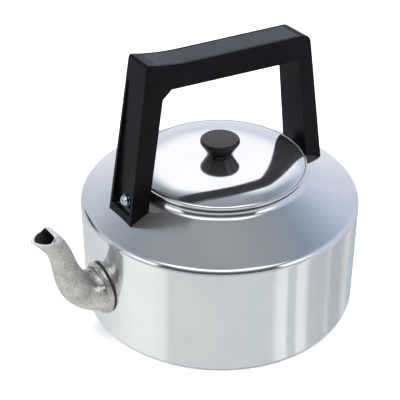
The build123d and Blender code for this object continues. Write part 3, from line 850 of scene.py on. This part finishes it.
def add_cards():
    """Card laid round the kettle, in sectors that each reflect as an upright band on the wall."""
    points, faces, turns = [], [], []
    for step in range(CARD_STEPS + 1):
        turn = math.radians(360 * step / CARD_STEPS - 180)
        bend = max(-math.pi, min(math.pi, 2 * turn))
        for reach in CARD_REACHES:
            right = (BODY_RADIUS + 0.5) * math.sin(turn) + reach * math.sin(bend)
            near = (BODY_RADIUS + 0.5) * math.cos(turn) + reach * math.cos(bend)
            points.append(from_view(right, -near, 0.1 + 0.0004 * reach))
            turns.append(math.degrees(turn))
    rows = len(CARD_REACHES)
    for step in range(CARD_STEPS):
        for row in range(rows - 1):
            first = step * rows + row
            faces.append((first, first + 1, first + rows + 1, first + rows))
    mesh = bpy.data.meshes.new("band_card")
    mesh.from_pydata([tuple(point * MM) for point in points], [], faces)
    mesh.attributes.new("turn", "FLOAT", "POINT").data.foreach_set("value", turns)
    card = bpy.data.objects.new("band_card", mesh)
    bpy.context.scene.collection.objects.link(card)
    look = Look("band_card", Specular_IOR_Level=0.0, Roughness=1.0, Base_Color=(0, 0, 0, 1))
    turn = look.add("Attribute", attribute_name="turn").outputs["Fac"]
    share = look.span(turn, 0.0, 1.0, -180.0, 180.0)
    glow = look.ramp(share, *[((place + 180) / 360, colour) for place, colour in BANDS])
    look.shader.inputs["Emission Strength"].default_value = 1.0
    paint(card, look.drive(Emission_Color=glow))
    card.visible_camera = False
    card.visible_diffuse = False
    card.visible_shadow = False
    card.visible_transmission = False


# Tones of the room by the sine of the elevation: behind the kettle, to its left and right,
# and on the camera's side, which is dark between the bench and the overhead light
BEHIND = [
    (0.0, (0.80, 0.82, 0.88)), (0.12, (0.78, 0.80, 0.87)), (0.34, (0.70, 0.73, 0.84)),
    (0.46, (1.12, 1.12, 1.14)), (0.79, (1.16, 1.16, 1.16)), (0.87, (0.36, 0.40, 0.46)),
    (1.0, (0.30, 0.315, 0.325))]
LEFT = [
    (0.0, (0.60, 0.62, 0.66)), (0.30, (0.60, 0.63, 0.70)), (0.52, (0.55, 0.59, 0.67)),
    (0.68, (0.35, 0.39, 0.45)), (0.82, (0.25, 0.285, 0.33)), (1.0, (0.30, 0.315, 0.325))]
RIGHT = [
    (0.0, (0.60, 0.64, 0.72)), (0.30, (0.60, 0.65, 0.78)), (0.52, (0.52, 0.585, 0.73)),
    (0.68, (0.34, 0.42, 0.54)), (0.82, (0.22, 0.28, 0.345)), (1.0, (0.30, 0.315, 0.325))]
BEFORE = [
    (0.0, (0.50, 0.52, 0.54)), (0.10, (0.42, 0.44, 0.46)), (0.20, (0.06, 0.065, 0.07)),
    (0.50, (0.06, 0.065, 0.07)), (0.70, (0.26, 0.27, 0.29)), (0.86, (1.5, 1.5, 1.5)),
    (0.965, (1.5, 1.5, 1.5)), (0.985, (0.30, 0.315, 0.325)), (1.0, (0.30, 0.315, 0.325))]

# Windows in the dark side of the room: azimuth from -180 to 180 degrees with 0 behind the
# kettle and positive to the right, and the heights they take up
WINDOWS = [
    (0.0, (0.05, 0.055, 0.06)), (0.125, (0.05, 0.055, 0.06)), (0.14, (1.3, 1.3, 1.3)),
    (0.22, (1.3, 1.3, 1.3)), (0.24, (0.10, 0.11, 0.12)), (0.76, (0.10, 0.11, 0.12)),
    (0.78, (1.3, 1.3, 1.3)), (0.86, (1.3, 1.3, 1.3)), (0.875, (0.05, 0.055, 0.06)),
    (1.0, (0.05, 0.055, 0.06))]
WINDOW_HEIGHT = [
    (0.0, (0, 0, 0)), (0.10, (0, 0, 0)), (0.14, (1, 1, 1)), (0.55, (1, 1, 1)), (0.60, (0, 0, 0)),
    (1.0, (0, 0, 0))]


# A dark cupboard low on the left, by the same azimuth and elevation
CUPBOARD = [
    (0.0, (0, 0, 0)), (0.285, (0, 0, 0)), (0.31, (1, 1, 1)), (0.345, (1, 1, 1)), (0.372, (0, 0, 0)),
    (1.0, (0, 0, 0))]
CUPBOARD_HEIGHT = [
    (0.0, (0, 0, 0)), (0.02, (0, 0, 0)), (0.05, (1, 1, 1)), (0.38, (1, 1, 1)), (0.46, (0, 0, 0)),
    (1.0, (0, 0, 0))]
CUPBOARD_TONE = (0.07, 0.08, 0.10, 1)


def add_world():
    world = bpy.data.worlds.new("studio")
    bpy.context.scene.world = world
    world.use_nodes = True
    room = Nodes(world.node_tree)
    where = room.add("TexCoord").outputs["Generated"]
    turned = room.add("VectorRotate", {"Vector": where, "Angle": VIEW_TURN}, rotation_type="Z_AXIS")
    right, away, up = room.add("SeparateXYZ", {0: turned.outputs[0]}).outputs
    angle = room.math("ARCTAN2", right, away)
    side = room.math("ABSOLUTE", angle)
    to_side = room.span(side, 0.0, 1.0, math.radians(20), math.radians(36))
    to_front = room.span(side, 0.0, 1.0, math.radians(100), math.radians(118))
    to_right = room.span(right, 0.0, 1.0, -0.1, 0.1)
    azimuth = room.span(angle, 0.0, 1.0, -math.pi, math.pi)

    front = room.blend(room.ramp(up, *WINDOW_HEIGHT), room.ramp(up, *BEFORE), room.ramp(azimuth, *WINDOWS))
    beside = room.blend(to_right, room.ramp(up, *LEFT), room.ramp(up, *RIGHT))
    sides = room.blend(to_side, room.ramp(up, *BEHIND), beside)
    cupboard = room.math("MULTIPLY", room.ramp(azimuth, *CUPBOARD), room.ramp(up, *CUPBOARD_HEIGHT))
    sides = room.blend(cupboard, sides, CUPBOARD_TONE)
    colour = room.blend(to_front, sides, front)
    room.tree.links.new(colour, room.tree.nodes["Background"].inputs["Color"])


def add_softbox(name, place, size, power):
    light = bpy.data.lights.new(name, "AREA")
    light.shape = "RECTANGLE"
    light.size, light.size_y = size
    light.energy = power
    lamp = bpy.data.objects.new(name, light)
    bpy.context.scene.collection.objects.link(lamp)
    lamp.location = from_view(*place)
    lamp.rotation_euler = (SOFTBOX_AIM - lamp.location).to_track_quat("-Z", "Y").to_euler()
    lamp.visible_camera = False
    lamp.visible_glossy = False


def add_stage():
    add_camera()
    add_floor()
    add_cards()
    add_world()
    add_softbox("key", (-0.9, -0.5, 1.7), (1.4, 1.4), 46)
    add_softbox("fill", (1.2, 0.3, 1.5), (1.6, 1.6), 40)
    bpy.context.scene.view_settings.view_transform = "Standard"


# ---- assembly -------------------------------------------------------------------
def finish_piece(piece, body, slot, material, *nodes):
    paint(piece, material)
    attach(piece, body)
    if nodes:
        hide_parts(*nodes)


def build_all():
    # Rings of painted shade: the shadow under the lid's rim on the neck, and in the crease beside the
    # lid's bead
    under_rim = ("height", 114.7, 117.0, 0.9)
    beside_bead = ("radius", 66.1, 66.8, 0.6)
    body_metal = polished("polished_body", 0.975, 0.07, 0.12, 0.70, 0.16, under_rim)
    lid_metal = polished("polished_lid", 0.98, 0.05, 0.09, 0.35, 0.10, beside_bead)
    cast = cast_aluminium()
    black = moulded(
        "handle_black", (0.0016, 0.0018, 0.0024), (0.007, 0.0075, 0.009), 0.28, 0.38, 0.10, 0.11)
    charcoal = moulded(
        "grip_charcoal", (0.004, 0.005, 0.008), (0.044, 0.048, 0.060), 0.34, 0.58, 0.35, 0.26)
    gloss = moulded(
        "knob_black", (0.004, 0.004, 0.005), (0.014, 0.014, 0.016), 0.13, 0.20, 0.03, 0.4)
    zinc = plated("zinc_plate", (0.54, 0.66, 0.73), (0.78, 0.88, 0.93), 0.13, 0.26)
    mill = plated("mill_aluminium", (0.60, 0.61, 0.62), (0.72, 0.73, 0.74), 0.3, 0.45)
    brass = plated("brass", (0.60, 0.44, 0.18), (0.74, 0.57, 0.26), 0.25, 0.4)
    seal = rubber()

    finish_piece(build_body(), "kettle", "polished_aluminium", body_metal, "kettle_body")
    spout, bore_start = build_spout()
    finish_piece(spout, "kettle", "cast_aluminium", cast, "spout")
    # second slot: the bore, coloured near-black as painted shade
    spout.data.materials.append(bore_painted_shade())
    first_bore_face = bore_start * SPOUT_POINTS
    for index in range(first_bore_face, len(spout.data.polygons)):
        spout.data.polygons[index].material_index = 1
    finish_piece(build_lid(), "lid", "polished_aluminium", lid_metal, "lid_cover")
    finish_piece(build_skirt(), "lid", "polished_aluminium", lid_metal, "lid_skirt")
    finish_piece(build_knob(), "lid", "knob_plastic", gloss, "lid_knob")
    finish_piece(build_frame(), "kettle", "handle_plastic", black, "handle_frame")
    finish_piece(build_cover(), "kettle", "grip_plastic", charcoal, "grip_cover")
    for name, side in (("front", -1), ("rear", 1)):
        screw = build_screw(name + "_pan_head", side)
        finish_piece(screw, "kettle", "zinc_hardware", zinc, name + "_screw")
        paint(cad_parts[name + "_washer"], zinc)
        paint(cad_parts[name + "_nut"], zinc)
        paint(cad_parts[name + "_bracket"], mill)
        paint(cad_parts[name + "_rivets"], mill)
    paint(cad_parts["spout_gasket"], seal)
    paint(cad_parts["spout_ring"], cast)
    paint(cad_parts["knob_insert"], brass)
    paint(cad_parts["knob_washer"], zinc)
    paint(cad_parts["knob_screw"], zinc)


build_all()
add_stage()
